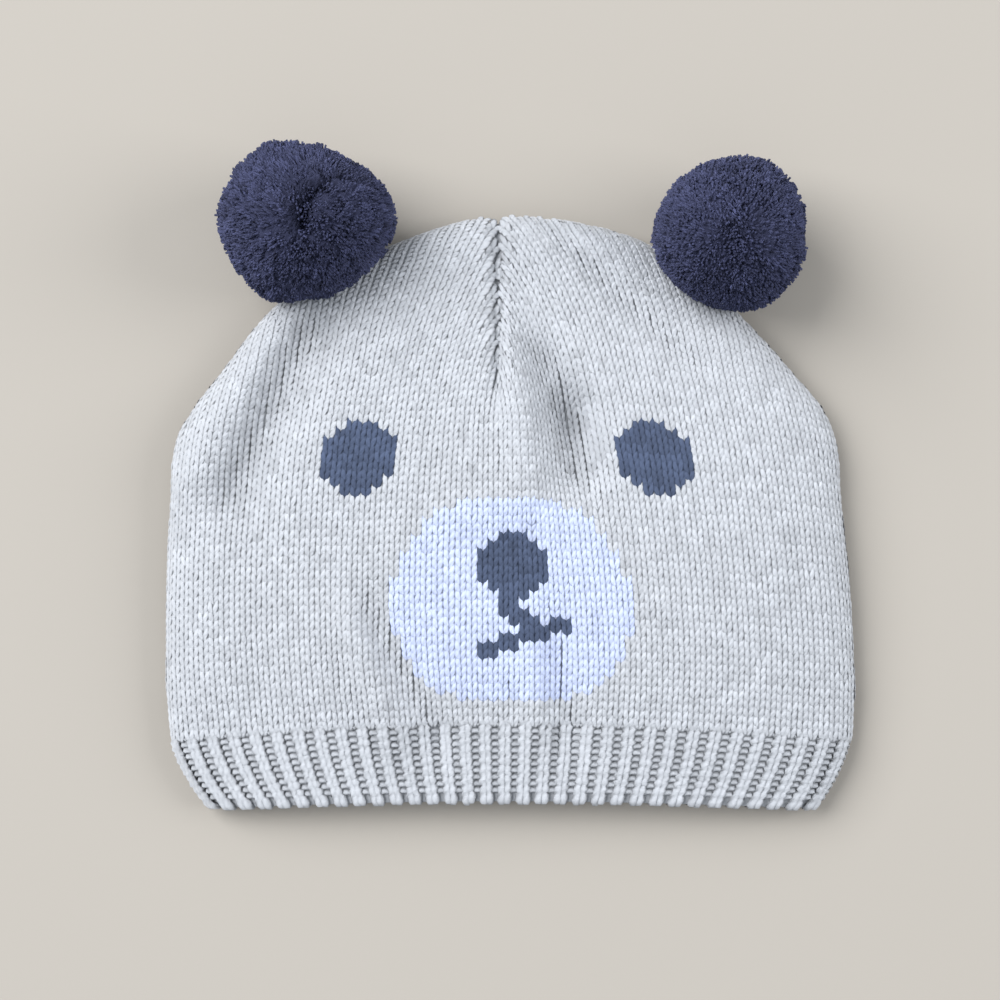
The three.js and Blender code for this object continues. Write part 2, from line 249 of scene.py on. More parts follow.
def surface(q, y):
    # Point of the cloth's crest, bilinear in the ring table. q runs round the hat: -1 left fold,
    # 0 middle of the front, 1 right fold, 2 middle of the back, 3 left fold again.
    across = np.clip(np.mod(q + 1, 4) * cloth["samples"], 0, ringTable.shape[1] - insideTable)
    down = rowOf(y)
    a, d = across.astype(int), down.astype(int)
    fa, fd = (across - a)[..., None], (down - d)[..., None]
    first = ringTable[d, a] * (1 - fa) + ringTable[d, a + 1] * fa
    second = ringTable[d + 1, a] * (1 - fa) + ringTable[d + 1, a + 1] * fa
    return first * (1 - fd) + second * fd


def normalAt(q, y):
    # Cross product of the surface's steps round the hat and up it
    y = np.clip(y, cloth["stepUp"], cloth["top"] - cloth["apexRoom"])
    around = surface(q + cloth["stepAround"], y) - surface(q - cloth["stepAround"], y)
    up = surface(q, y + cloth["stepUp"]) - surface(q, y - cloth["stepUp"])
    return unit(np.cross(around, up))


def arcAt(isFront, side, y):
    # Length of a quarter of the ring at height y, from the table
    down = rowOf(y)
    return np.interp(down, np.arange(cloth["rows"]), arcTables[isFront, side])


print("cloth surface ready")


def ringFaces(rings, sides):
    # Corners and starts of the faces of one tube: quads between rings that follow each other, then two caps
    ring = np.arange(sides)
    following = (ring + 1) % sides
    first = (np.arange(rings - 1) * sides)[:, None]
    quads = np.stack(
        [first + ring, first + sides + ring, first + sides + following, first + following], axis=-1
    ).reshape(-1)
    corners = np.concatenate([quads, ring, (rings - 1) * sides + ring[::-1]])
    starts = np.concatenate([np.arange(0, len(quads), 4), [len(quads), len(quads) + sides]])
    return corners, starts


def tubeMesh(paths, radii, normals, sides, flat=1.0):
    # Closed tubes along centre lines: ring point = path + radius * (cos a * across + flat * sin a * out).
    # Returns points, face corners, face starts, and for each point its length along and angle round.
    count, rings = paths.shape[:2]
    tangents = unit(np.gradient(paths, axis=1))
    across = unit(np.cross(tangents, normals.reshape(count, -1, 3)))
    out = np.cross(across, tangents)
    angles = 2 * math.pi * np.arange(sides) / sides
    cosines = np.cos(angles)[None, None, :, None]
    sines = np.sin(angles)[None, None, :, None]
    spread = np.broadcast_to(radii, (count, rings))[:, :, None, None]
    circle = across[:, :, None, :] * cosines + flat * out[:, :, None, :] * sines
    points = (paths[:, :, None, :] + spread * circle).reshape(-1, 3)
    tubeCorners, tubeStarts = ringFaces(rings, sides)
    corners = (np.arange(count)[:, None] * rings * sides + tubeCorners).reshape(-1)
    starts = (np.arange(count)[:, None] * len(tubeCorners) + tubeStarts).reshape(-1)
    steps = np.linalg.norm(np.diff(paths, axis=1), axis=2)
    along = np.concatenate([np.zeros((count, 1)), np.cumsum(steps, axis=1)], axis=1)
    ply = np.empty((count, rings, sides, 3))
    ply[..., 0] = along[:, :, None]
    ply[..., 1] = np.cos(angles)
    ply[..., 2] = np.sin(angles)
    return points, corners, starts, ply.reshape(-1, 3)


def makePiece(name, parts, material):
    # One mesh object in the part's frame, pressed flat where it rests. Each point has its place on the yarn,
    # its tone, which holds random tone and painted shade, and its nap: the direction that the fuzz stands in.
    points, corners, starts, ply, tone, nap = parts
    points = np.maximum(points, (-math.inf, -math.inf, floorGap))
    mesh = bpy.data.meshes.new(name)
    mesh.vertices.add(len(points))
    mesh.vertices.foreach_set("co", (points * metres).astype(np.float32).ravel())
    mesh.loops.add(len(corners))
    mesh.loops.foreach_set("vertex_index", corners.astype(np.int32))
    mesh.polygons.add(len(starts))
    mesh.polygons.foreach_set("loop_start", starts.astype(np.int32))
    mesh.update(calc_edges=True)
    mesh.polygons.foreach_set("use_smooth", np.ones(len(starts), bool))
    for label, vectors in (("ply", ply), ("nap", nap)):
        attribute = mesh.attributes.new(label, "FLOAT_VECTOR", "POINT")
        attribute.data.foreach_set("vector", vectors.astype(np.float32).ravel())
    attribute = mesh.attributes.new("tone", "FLOAT", "POINT")
    attribute.data.foreach_set("value", tone.astype(np.float32).ravel())
    mesh.materials.append(material)
    piece = bpy.data.objects.new(name, mesh)
    bpy.context.scene.collection.objects.link(piece)
    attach(piece, "root")
    print(name, "triangles", len(corners) - 2 * len(starts))
    return piece


def newGroup(name, inputs, outputs):
    # A shader node group with the named sockets, and its two end nodes
    group = bpy.data.node_groups.new(name, "ShaderNodeTree")
    for label, kind in inputs:
        group.interface.new_socket(label, in_out="INPUT", socket_type=kind)
    for label, kind in outputs:
        group.interface.new_socket(label, in_out="OUTPUT", socket_type=kind)
    return group, group.nodes.new("NodeGroupInput"), group.nodes.new("NodeGroupOutput")


def mathNode(tree, operation, first, second=None):
    # A maths node whose inputs are sockets or numbers
    node = tree.nodes.new("ShaderNodeMath")
    node.operation = operation
    for index, value in enumerate((first, second)):
        if value is None:
            continue
        if isinstance(value, bpy.types.NodeSocket):
            tree.links.new(value, node.inputs[index])
        else:
            node.inputs[index].default_value = value
    return node.outputs[0]


def vectorNode(tree, operation, first, second=None, scale=None):
    # A vector maths node whose inputs are sockets
    node = tree.nodes.new("ShaderNodeVectorMath")
    node.operation = operation
    tree.links.new(first, node.inputs[0])
    if second is not None:
        tree.links.new(second, node.inputs[1])
    if scale is not None:
        tree.links.new(scale, node.inputs["Scale"])
    return node.outputs[0]


wool = {
    "fibreScale": 2600.0,
    "fibreDetail": 3.0,
    "fibreRoughness": 0.7,
    "patchScale": 60.0,
    "bumpStrength": 0.7,
    "bumpDistance": 0.0006,
    "roughness": 0.92,
    "specular": 0.2,
    "sheenRoughness": 0.5,
}


def woolGroup():
    # Colour and normal of plied wool: height = ply wave + fibres, colour = base * (1 + variation * (tone +
    # fibre noise + patches)), normal = the face's normal turned towards the nap by the softness, since fuzz
    # hides the yarn's roundness, and then bumped by the height
    group, start, end = newGroup(
        "woolYarn",
        [
            ("Colour", "NodeSocketColor"),
            ("Twist", "NodeSocketFloat"),
            ("Ply depth", "NodeSocketFloat"),
            ("Fibre depth", "NodeSocketFloat"),
            ("Variation", "NodeSocketFloat"),
            ("Softness", "NodeSocketFloat"),
        ],
        [("Colour", "NodeSocketColor"), ("Normal", "NodeSocketVector")],
    )
    nodes, links = group.nodes, group.links
    ply = nodes.new("ShaderNodeAttribute")
    ply.attribute_name = "ply"
    parts = nodes.new("ShaderNodeSeparateXYZ")
    links.new(ply.outputs["Vector"], parts.inputs[0])
    angle = mathNode(group, "ARCTAN2", parts.outputs[2], parts.outputs[1])
    turned = mathNode(group, "MULTIPLY", parts.outputs[0], start.outputs["Twist"])
    phase = mathNode(group, "ADD", mathNode(group, "MULTIPLY", angle, 2.0), turned)
    wave = mathNode(group, "MULTIPLY", mathNode(group, "SINE", phase), start.outputs["Ply depth"])
    place = nodes.new("ShaderNodeTexCoord")
    fibres = nodes.new("ShaderNodeTexNoise")
    fibres.inputs["Scale"].default_value = wool["fibreScale"]
    fibres.inputs["Detail"].default_value = wool["fibreDetail"]
    fibres.inputs["Roughness"].default_value = wool["fibreRoughness"]
    links.new(place.outputs["Object"], fibres.inputs["Vector"])
    fibreHeight = mathNode(group, "MULTIPLY", fibres.outputs["Fac"], start.outputs["Fibre depth"])
    bump = nodes.new("ShaderNodeBump")
    bump.inputs["Strength"].default_value = wool["bumpStrength"]
    bump.inputs["Distance"].default_value = wool["bumpDistance"]
    links.new(mathNode(group, "ADD", wave, fibreHeight), bump.inputs["Height"])
    tone = nodes.new("ShaderNodeAttribute")
    tone.attribute_name = "tone"
    patches = nodes.new("ShaderNodeTexNoise")
    patches.inputs["Scale"].default_value = wool["patchScale"]
    links.new(place.outputs["Object"], patches.inputs["Vector"])
    fibreTone = mathNode(group, "SUBTRACT", fibres.outputs["Fac"], 0.5)
    patchTone = mathNode(group, "SUBTRACT", patches.outputs["Fac"], 0.5)
    mixed = mathNode(group, "ADD", tone.outputs["Fac"], fibreTone)
    mixed = mathNode(group, "ADD", mixed, patchTone)
    value = mathNode(group, "ADD", mathNode(group, "MULTIPLY", mixed, start.outputs["Variation"]), 1.0)
    shade = nodes.new("ShaderNodeHueSaturation")
    links.new(start.outputs["Colour"], shade.inputs["Color"])
    links.new(value, shade.inputs["Value"])
    links.new(shade.outputs["Color"], end.inputs["Colour"])
    nap = nodes.new("ShaderNodeAttribute")
    nap.attribute_name = "nap"
    toWorld = nodes.new("ShaderNodeVectorTransform")
    toWorld.vector_type = "NORMAL"
    toWorld.convert_from = "OBJECT"
    toWorld.convert_to = "WORLD"
    links.new(nap.outputs["Vector"], toWorld.inputs[0])
    face = nodes.new("ShaderNodeNewGeometry").outputs["Normal"]
    turn = vectorNode(group, "SUBTRACT", toWorld.outputs[0], face)
    part = vectorNode(group, "SCALE", turn, scale=start.outputs["Softness"])
    soft = vectorNode(group, "NORMALIZE", vectorNode(group, "ADD", face, part))
    links.new(soft, bump.inputs["Normal"])
    links.new(bump.outputs["Normal"], end.inputs["Normal"])
    return group


woolNodes = woolGroup()


def woolMaterial(name, look):
    # Rough wool with a soft sheen, coloured and bumped by the shared group
    material = bpy.data.materials.new(name)
    material.use_nodes = True
    tree = material.node_tree
    shader = tree.nodes["Principled BSDF"]
    yarn = tree.nodes.new("ShaderNodeGroup")
    yarn.node_tree = woolNodes
    yarn.inputs["Colour"].default_value = (*look["colour"], 1)
    for label in ("Twist", "Ply depth", "Fibre depth", "Variation", "Softness"):
        yarn.inputs[label].default_value = look[label]
    tree.links.new(yarn.outputs["Colour"], shader.inputs["Base Color"])
    tree.links.new(yarn.outputs["Normal"], shader.inputs["Normal"])
    shader.inputs["Roughness"].default_value = wool["roughness"]
    shader.inputs["Specular IOR Level"].default_value = wool["specular"]
    shader.inputs["Sheen Weight"].default_value = look["sheen"]
    shader.inputs["Sheen Roughness"].default_value = wool["sheenRoughness"]
    shader.inputs["Sheen Tint"].default_value = (*look["sheenTint"], 1)
    return material


# Keys with a capital are the wool group's sockets
looks = {
    "creamYarn": {
        "colour": (0.54, 0.564, 0.61),
        "Twist": 2.4,
        "Ply depth": 0.2,
        "Fibre depth": 0.35,
        "Variation": 0.1,
        "Softness": 0.9,
        "sheen": 0.5,
        "sheenTint": (1, 1, 1),
    },
    "muzzleYarn": {
        "colour": (0.58, 0.655, 0.9),
        "Twist": 2.4,
        "Ply depth": 0.2,
        "Fibre depth": 0.35,
        "Variation": 0.08,
        "Softness": 0.92,
        "sheen": 0.5,
        "sheenTint": (1, 1, 1),
    },
    "slateYarn": {
        "colour": (0.075, 0.1, 0.17),
        "Twist": 2.4,
        "Ply depth": 0.2,
        "Fibre depth": 0.5,
        "Variation": 0.2,
        "Softness": 0.85,
        "sheen": 0.35,
        "sheenTint": (0.7, 0.78, 1),
    },
    "navyYarn": {
        "colour": (0.057, 0.064, 0.132),
        "Twist": 3.2,
        "Ply depth": 0.4,
        "Fibre depth": 1.0,
        "Variation": 0.35,
        "Softness": 0.92,
        "sheen": 0.3,
        "sheenTint": (0.5, 0.55, 1),
    },
}
creamYarn, muzzleYarn, slateYarn, navyYarn = (woolMaterial(name, look) for name, look in looks.items())

# Wales run up the cloth and courses across it. Ranges are shares of the usual wale and radius, and names with
# join, fade and seam are of the lean's course up the hat, as growWales uses them.
knit = {
    "walesLeft": 32,
    "walesRight": 34,
    "extraWales": 4,
    "widening": 0.07,
    "course": 2.1,
    "wale": 2.84,
    "courses": 74,
    "fadeStart": 100.0,
    "fadeReach": 15.0,
    "fadePerMm": 0.0105,
    "leastFade": 0.2,
    "joinReach": 22.0,
    "joinStart": 92.0,
    "joinRise": 12.0,
    "backStart": 60.0,
    "backRise": 40.0,
    "steepest": 2.5,
    "leastArc": 0.5,
    "frontEnd": 1.6,
    "backEnd": 4.5,
    "seamLean": 0.3,
    "seamReach": 4.5,
    "seamEnd": -0.9,
    "seamPull": 0.8,
    "seamSink": 0.6,
    "jitter": 0.055,
    "riseJitter": 0.4,
    "widthRange": (0.8, 2.4),
    "radiusRange": (0.85, 2.0),
    "sink": 0.4,
    "flat": 0.4,
    "toneSpread": 0.5,
    # Painted shade: stitch tone is lowered per mm of fold depth past foldShadeFrom
    "foldShade": 0.32,
    "foldShadeFrom": 1.0,
}
# How far the wales lean towards the dart: height in mm, then the slope left and right of the dart
leans = np.array(
    [
        (21.5, -0.1, -0.06),
        (29.7, -0.09, -0.04),
        (42.5, -0.03, 0.05),
        (57.8, 0.015, 0.085),
        (73.2, 0.045, 0.12),
        (88.5, 0.105, 0.155),
        (104, 0.17, 0.215),
        (119, 0.36, 0.42),
        (132, 0.46, 0.53),
        (145, 0.47, 0.66),
        (153.3, 0.47, 0.7),
    ]
)


def turnOf(isFront, side, share):
    # q of a share of a quarter counted from its middle: front side * u, back 2 - side * u
    return side * share if isFront else 2 - side * share


def waleShare(index, count):
    # Share of the quarter's arc at a wale: i / n * (1 + g i / n) / (1 + g), so wales widen to the sides
    part = index / count
    return part * (1 + knit["widening"] * part) / (1 + knit["widening"])


def growWales(isFront, side):
    # Marches every wale up the cloth by one course at a time: ds/dy = -slope, from the table of leans,
    # with y and s scaled so that each step is one course long on the surface. The lean fades high up with
    # the distance from the dart, grows with it lower down, and is stronger beside the seam. A wale ends
    # where it reaches the seam or the apex.
    n = knit["walesRight"] if side > 0 else knit["walesLeft"]
    extra = knit["extraWales"] if isFront else 0
    u = waleShare(np.arange(n + extra) + 0.5, n)
    y = np.full(n + extra, cloth["band"])
    end = cloth["top"] - knit["frontEnd" if isFront else "backEnd"]
    alive = np.ones(n + extra, bool)
    turns, heights, living = [turnOf(isFront, side, u)], [y], [alive & (u < 1.0)]
    for course in range(knit["courses"]):
        arc = arcAt(isFront, side, y)
        high = smooth((y - knit["fadeStart"]) / knit["fadeReach"])
        fade = np.clip(1 - knit["fadePerMm"] * u * arc * high, knit["leastFade"], 1)
        slope = np.interp(y, leans[:, 0], leans[:, 1 if side < 0 else 2]) * fade
        low = 1 - smooth((y - knit["joinStart"]) / knit["joinRise"])
        slope = slope * (1 - (1 - smooth(u * arc / knit["joinReach"])) * low)
        slope = slope if isFront else slope * smooth((y - knit["backStart"]) / knit["backRise"])
        nearSeam = np.exp(-((u * arc / knit["seamReach"]) ** 2))
        slope = slope + knit["seamLean"] * nearSeam * smooth((y - dart["tip"]) / dart["reach"])
        dy = knit["course"] / np.sqrt(1 + slope**2)
        here = surface(turnOf(isFront, side, u), y)
        rise = np.linalg.norm(surface(turnOf(isFront, side, u), y + dy) - here, axis=1) / dy
        dy = dy / np.clip(rise, 1, knit["steepest"])
        newArc = arcAt(isFront, side, y + dy)
        s = u * arc - slope * dy
        alive = alive & (s > knit["seamEnd"]) & (y + dy < end)
        u = np.where(alive, s / np.maximum(newArc, knit["leastArc"]), u)
        y = np.where(alive, y + dy, y)
        turns.append(turnOf(isFront, side, u))
        heights.append(y)
        living.append(alive & (u < 1.0))
    return np.array(turns), np.array(heights), np.array(living)


def stitchFrames(turns, heights, living, side, layer):
    # Frame of each stitch: foot point, up to the next course, normal, right = up x normal, and its widths to
    # the left and right, which are the distances of the next wales across the stitch. Wales are numbered
    # 0, 1, 2 to the right of the middle and -1, -2, -3 to the left.
    places = surface(turns, heights)
    up = places[1:] - places[:-1]
    normal = normalAt((turns[1:] + turns[:-1]) / 2, (heights[1:] + heights[:-1]) / 2)
    right = unit(np.cross(up, normal))
    gaps = np.diff(places, axis=1)[:-1]
    climb = unit(up[:, 1:])
    distance = np.linalg.norm(gaps - climb * np.sum(gaps * climb, axis=-1, keepdims=True), axis=-1)
    distance = np.clip(distance, *(knit["wale"] * share for share in knit["widthRange"]))
    outward = np.concatenate([distance, distance[:, -1:]], axis=1)
    inward = np.where(living[1:, :-1], distance, outward[:, 1:])
    inward = np.concatenate([outward[:, :1], inward], axis=1)
    toLeft, toRight = (inward, outward) if side * layer > 0 else (outward, inward)
    pick = np.nonzero(living[1:])
    course, wale = pick
    index = wale if side > 0 else -wale - 1
    return {
        "foot": places[:-1][pick],
        "up": up[pick],
        "normal": normal[pick],
        "right": right[pick],
        "leftWidth": toLeft[pick],
        "rightWidth": toRight[pick],
        "wale": index,
        "course": course,
        "side": side + 0 * index,
        "layer": layer + 0 * index,
    }


# Centre line of a stitch's right leg: across as a share of the wale, up as a share of the course,
# out in mm, radius in mm
legShape = np.array(
    [
        (0.12, -0.34, -0.3, 0.54),
        (0.18, 0.1, -0.03, 0.69),
        (0.295, 0.7, 0.0, 0.73),
        (0.36, 1.36, -0.25, 0.56),
    ]
)
backLegShape = legShape[[0, 2, 3]]


def stitchLegs(frames, keep, shape, sides):
    # Two tubes per stitch: path = foot + right * across * width + up * share + normal * (out - sink),
    # bent and turned with the front's folds, and darkened with painted shade in their depth. Where a path
    # crosses the dart's seam it is pulled back and sinks.
    picked = {key: value[keep] for key, value in frames.items()}
    count = len(picked["wale"])
    wobble = random.normal(0, knit["jitter"], (count, 3))
    isFront = (picked["layer"] > 0)[:, None]
    parts, turned = [], []
    for leg, width in ((-1, picked["leftWidth"]), (1, picked["rightWidth"])):
        across = leg * shape[None, :, 0] * width[:, None] + wobble[:, :1]
        rise = shape[None, :, 1] * (1 + knit["riseJitter"] * wobble[:, 1:2])
        out = shape[None, :, 2] - knit["sink"] + wobble[:, 2:3]
        path = (
            picked["foot"][:, None, :]
            + picked["right"][:, None, :] * across[..., None]
            + picked["up"][:, None, :] * rise[..., None]
            + picked["normal"][:, None, :] * out[..., None]
        )
        bend, change = foldBend(picked["foot"] + picked["up"] / 2, path)
        path[..., 2] += bend * isFront
        turned.append(unit(picked["normal"] - change * picked["normal"][:, 2:] * isFront))
        over = np.maximum(-picked["side"][:, None] * path[..., 0], 0)
        path[..., 0] += picked["side"][:, None] * over * knit["seamPull"]
        path[..., 2] -= picked["layer"][:, None] * over * knit["seamSink"]
        parts.append(path)
    paths = np.concatenate(parts)
    normals = np.concatenate(turned)
    scale = np.concatenate([picked["leftWidth"], picked["rightWidth"]])[:, None] / knit["wale"]
    radii = shape[None, :, 3] * np.clip(scale, *knit["radiusRange"])
    tubes = tubeMesh(paths, radii, normals, sides, knit["flat"])
    each = shape.shape[0] * sides
    # Painted shade: stitches deep in the front's folds get a darker tone
    depth = -foldRelief(picked["foot"][:, 0], picked["foot"][:, 1] + cloth["middle"]) * isFront[:, 0]
    shade = knit["foldShade"] * np.maximum(depth - knit["foldShadeFrom"], 0)
    tone = random.normal(0, knit["toneSpread"], count) - shade
    return *tubes, np.repeat(np.tile(tone, 2), each), np.repeat(normals, each, axis=0)


# Charts of the face from the top row down: how many rows alike, then first and last wale of each span
eyeChart = [(1, -1, 1), (1, -2, 2), (5, -3, 3), (1, -2, 2), (1, -1, 1)]
noseChart = [
    (1, -1, 1),
    (1, -2, 2),
    (4, -3, 3),
    (1, -2, 2),
    (1, -1, 1),
    (1, -1, 0),
    (1, -1, 1),
    (1, 0, 2, 4, 5),
    (1, 1, 5),
    (1, -1, 3),
    (1, -3, 0),
    (1, -3, -2),
]
muzzleChart = [
    (1, -5, 5),
    (1, -7, 7),
    (2, -8, 8),
    (2, -9, 9),
    (3, -10, 10),
    (7, -11, 11),
    (3, -10, 10),
    (2, -9, 9),
    (1, -8, 8),
    (1, -7, 7),
    (1, -5, 5),
]
# Chart, wale of its middle column, course of its top row, and the yarn's number
faceFields = [
    (muzzleChart, 1, 26, 1),
    (noseChart, 1, 22, 2),
    (eyeChart, -14, 36, 3),
    (eyeChart, 16, 36, 4),
]
fieldOffset = knit["walesRight"] + knit["extraWales"]
fieldMap = np.zeros((2 * fieldOffset, knit["courses"]), int)
for chart, middle, topCourse, number in faceFields:
    course = topCourse
    for rows, *spans in chart:
        for first, last in zip(spans[::2], spans[1::2]):
            start = middle + first + fieldOffset
            stop = middle + last + fieldOffset + 1
            fieldMap[start:stop, course - rows + 1 : course + 1] = number
        course -= rows


def knitHalf(isFront, side):
    # The frames of one half of a layer, and the yarn's number of each of its stitches
    frames = stitchFrames(*growWales(isFront, side), side, 1 if isFront else -1)
    yarn = fieldMap[frames["wale"] + fieldOffset, frames["course"]] if isFront else 0 * frames["wale"]
    return frames, yarn


left, leftYarn = knitHalf(True, -1)
right, rightYarn = knitHalf(True, 1)
both = {key: np.concatenate([left[key], right[key]]) for key in left}
bothYarn = np.concatenate([leftYarn, rightYarn])
faceYarns = {
    1: ("muzzleStitches", muzzleYarn, "muzzle_yarn", "muzzle"),
    2: ("noseStitches", slateYarn, "face_yarn", "nose_and_mouth"),
    3: ("leftEyeStitches", slateYarn, "face_yarn", "eye_left"),
    4: ("rightEyeStitches", slateYarn, "face_yarn", "eye_right"),
}
for number, (name, material, slot, node) in faceYarns.items():
    piece = makePiece(name, stitchLegs(both, bothYarn == number, legShape, 6), material)
    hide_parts(node)
makePiece("frontStitchesLeft", stitchLegs(left, leftYarn == 0, legShape, 6), creamYarn)
makePiece("frontStitchesRight", stitchLegs(right, rightYarn == 0, legShape, 6), creamYarn)
for side, name in ((-1, "backStitchesLeft"), (1, "backStitchesRight")):
    frames, yarn = knitHalf(False, side)
    makePiece(name, stitchLegs(frames, yarn == 0, backLegShape, 4), creamYarn)

print("crown knitted")

# The hem's three rows hold the four rings with which a cord turns under: height, sink and turn. The purl's
# rows of four hold the rings of a purl bar: across in wales, up in courses, and out in mm.
rib = {
    "courses": 11,
    "hem": 2.2,
    "knitAt": 0.66,
    "purlAt": 1.66,
    "stepAround": 0.01,
    "oneWale": 1 / 33,
    "cord": 1.02,
    "cordAcross": 0.25,
    "cordFlat": 0.85,
    "cordStart": 1.8,
    "cordSink": 0.5,
    "cordTopSink": 0.3,
    "cordTopRise": 8,
    "cordTaper": 0.3,
    "cordJitter": 0.09,
    "cordTone": (-0.1, 0.4),
    "swell": 0.12,
    "zigzag": 0.035,
    "hemHeights": (0.35, 0.0, 0.3, 0.95),
    "hemSinks": (2.3, 1.5, 0.85, 0.6),
    "hemTurns": (1, 0.9, 0.5, 0.1),
    "purl": 0.72,
    "purlStart": 1.6,
    "purlRoom": 1.2,
    "purlAcross": (-0.5, -0.22, 0.22, 0.5),
    "purlUp": (-0.1, 0.35, 0.35, -0.1),
    "purlOut": (-0.5, 0, 0, -0.5),
    "purlSink": 0.98,
    # The mean is painted shade of the sunken purl bars; the spread is random tone
    "purlShadeAndTone": (-0.8, 0.5),
}


def ribTurns(at):
    # q of each rib's column, wale 2 k + at of each quarter counted towards the right on the front
    parts = []
    for isFront in (True, False):
        for side, n in ((-1, knit["walesLeft"]), (1, knit["walesRight"])):
            wales = 2 * np.arange(n // 2) + at
            shares = waleShare(n - wales if side < 0 else wales, n)
            parts.append(turnOf(isFront, side, shares))
    return np.concatenate(parts)


def ribFrames(at, heights):
    # Point, normal, right-hand direction and wale width of every rib's column at each height, where
    # width = |step round the hat| / (its turn) * (turn of one wale)
    columns = ribTurns(at)
    turns, y = np.meshgrid(columns, heights, indexing="ij")
    places, normal = surface(turns, y), normalAt(turns, y)
    step = rib["stepAround"]
    around = surface(turns + step, y) - surface(turns - step, y)
    width = np.linalg.norm(around, axis=-1, keepdims=True) / (2 * step) * rib["oneWale"]
    return places, normal, unit(around), width


def ribCords():
    # Two cords per rib: path = place + right * leg * width * (across + zigzag) - normal * sink, with a radius
    # that swells once a course. At the hem they turn under.
    steps = 3 * rib["courses"] + 1
    climb = np.linspace(0, 1, steps)
    under = rib["hem"] + np.array(rib["hemHeights"])
    start = rib["hem"] + rib["cordStart"]
    heights = np.concatenate([under, start + climb * (cloth["band"] + 1 - start)])
    atTop = smooth(climb * rib["cordTopRise"] - rib["cordTopRise"] + 1)
    sink = np.concatenate([rib["hemSinks"], rib["cordSink"] + rib["cordTopSink"] * atTop])
    course = np.concatenate([np.zeros(len(under)), climb * rib["courses"]])
    wave = np.cos(2 * math.pi * course)
    places, normal, right, width = ribFrames(rib["knitAt"], heights)
    folded = np.concatenate([rib["hemTurns"], np.zeros(steps)])[None, :, None]
    up = np.cross(normal, right)
    parts = []
    for leg in (-1, 1):
        across = leg * (rib["cordAcross"] + rib["zigzag"] * wave)[None, :, None] * width
        parts.append(places + right * across - normal * sink[None, :, None])
    paths = np.concatenate(parts)
    paths = paths + random.normal(0, rib["cordJitter"], paths.shape)
    facing = np.concatenate([unit(normal * (1 - folded) - up * folded)] * 2)
    taper = 1 - rib["cordTaper"] * smooth(course - rib["courses"] + 1)
    radii = rib["cord"] * (1 + rib["swell"] * wave) * taper
    sides = 6
    tubes = tubeMesh(paths, radii[None, :], facing, sides, rib["cordFlat"])
    tone = np.repeat(random.normal(*rib["cordTone"], paths.shape[0] * paths.shape[1]), sides)
    nap = np.concatenate([unit(normal - up * folded)] * 2).reshape(-1, 3)
    return *tubes, tone, np.repeat(nap, sides, axis=0)


makePiece("ribCords", ribCords(), creamYarn)


def purlBumps():
    # An arched cross bar per purl stitch: path = place + right * width * across + up * lift +
    # normal * (out - sink)
    step = (cloth["band"] - rib["hem"] - rib["purlRoom"]) / rib["courses"]
    heights = rib["hem"] + rib["purlStart"] + step * (np.arange(rib["courses"]) + 0.5)
    places, normal, right, width = ribFrames(rib["purlAt"], heights)
    across = np.array(rib["purlAcross"])[:, None]
    lift = np.array(rib["purlUp"])[:, None] * step
    out = np.array(rib["purlOut"])[:, None] - rib["purlSink"]
    up = np.cross(normal, right)[:, :, None, :]
    spread = right[:, :, None, :] * (across * width[:, :, None, :])
    paths = places[:, :, None, :] + spread + up * lift + normal[:, :, None, :] * out
    rings, sides = len(across), 5
    paths = paths.reshape(-1, rings, 3)
    tubes = tubeMesh(paths, rib["purl"], up.reshape(-1, 3), sides)
    # Painted shade: purl bars in the rib's gaps are darkened by the mean, with random tone from the spread
    tone = np.repeat(random.normal(*rib["purlShadeAndTone"], len(paths)), rings * sides)
    return *tubes, tone, np.repeat(normal.reshape(-1, 3), rings * sides, axis=0)


makePiece("ribPurls", purlBumps(), creamYarn)
print("rib band knitted")

baseShell = {
    "columns": 264,
    "rows": 64,
    "bottom": 2.2,
    "start": 0.15,
    "outer": 0.95,
    "inner": 2.8,
    "ribSink": 0.4,
    "dartBunch": 0.75,
    # Painted shade of the outer wall that shows in the gaps between stitches, weaker in the band
    "shade": -2.6,
    "bandLighter": 0.6,
    "bandFade": 2.0,
    "facePart": (-60.0, 40.0),
    "stitchMiddle": 0.6,
}


def clothShell():
    # Hollow cloth under the stitches: rings at crest - outer * normal and crest - inner * normal,
    # joined at the hem and closed at the top. Columns bunch up at the darts: q = a - bunch * sin(pi a) / pi.
    turns = -1 + 4 * np.arange(baseShell["columns"]) / baseShell["columns"]
    turns = turns - baseShell["dartBunch"] * np.sin(math.pi * turns) / math.pi
    t = np.linspace(baseShell["start"], 1, baseShell["rows"])
    heights = cloth["top"] * (1 - t[::-1] ** 2)
    heights[0] = baseShell["bottom"]
    q, y = np.meshgrid(turns, heights)
    crest, normal = surface(q, y), normalAt(q, y)
    inBand = smooth((cloth["band"] - y) / baseShell["bandFade"])
    deeper = baseShell["ribSink"] * inBand
    outer = crest - normal * (baseShell["outer"] + deeper)[..., None]
    inner = crest - normal * (baseShell["inner"] + deeper)[..., None]
    rings = np.concatenate([outer[::-1], inner])
    corners, starts = ringFaces(len(rings), baseShell["columns"])
    # Each quad starts one corner back, which splits it along its other diagonal
    quads = corners[: starts[-2]].reshape(-1, 4)
    quads[:] = np.roll(quads, 1, axis=1)
    # Painted shade: the outer wall, seen in the gaps between stitches, is darkened, less so in the band; the
    # inner wall is not
    shade = baseShell["shade"] * (1 - baseShell["bandLighter"] * inBand)
    tone = np.concatenate([shade[::-1], 0 * shade]).reshape(-1)
    nap = np.concatenate([normal[::-1], -normal]).reshape(-1, 3)
    return rings.reshape(-1, 3), corners, starts, 0 * nap, tone, nap


